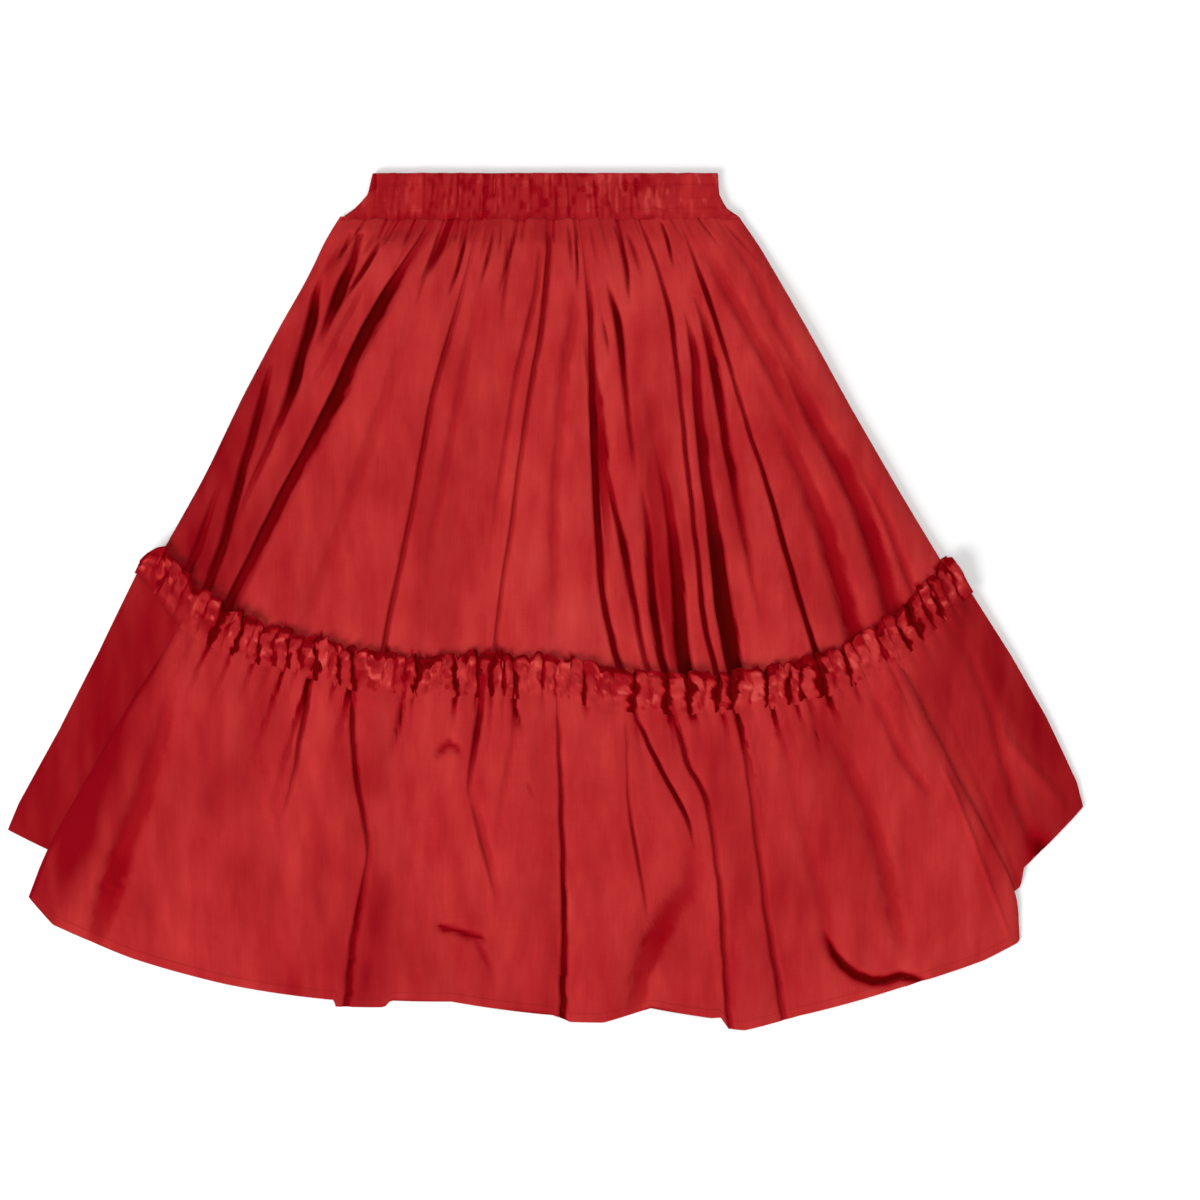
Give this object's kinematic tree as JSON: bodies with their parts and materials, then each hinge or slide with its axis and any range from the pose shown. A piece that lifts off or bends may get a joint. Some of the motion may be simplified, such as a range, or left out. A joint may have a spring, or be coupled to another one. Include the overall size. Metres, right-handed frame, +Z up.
{
  "type": "tiered gathered skirt, laid flat",
  "caption": "Gathered skirt with an elasticated waist, a long upper tier and a lower flounce with a free frilly heading, laid flat in a fan.",
  "frame": {"origin": "on the surface the skirt lies on, below the centre of its outline", "axes": "+Z up from the surface; +Y towards the waist, -Y towards the hem; +X to the right of the front as seen from above"},
  "size_m": [1.0255, 0.8166, 0.0258],
  "materials": {
    "skirt_cloth": "plain red woven cloth with a low sheen",
    "casing_cloth": "the same red cloth, gathered on elastic"
  },
  "bodies": {
    "root": {"waistband_front": "casing_cloth", "waistband_back": "casing_cloth", "upper_front": "skirt_cloth", "upper_back": "skirt_cloth", "heading_front": "skirt_cloth", "heading_back": "skirt_cloth", "flounce_front": "skirt_cloth", "flounce_back": "skirt_cloth"}
  },
  "joints": []
}
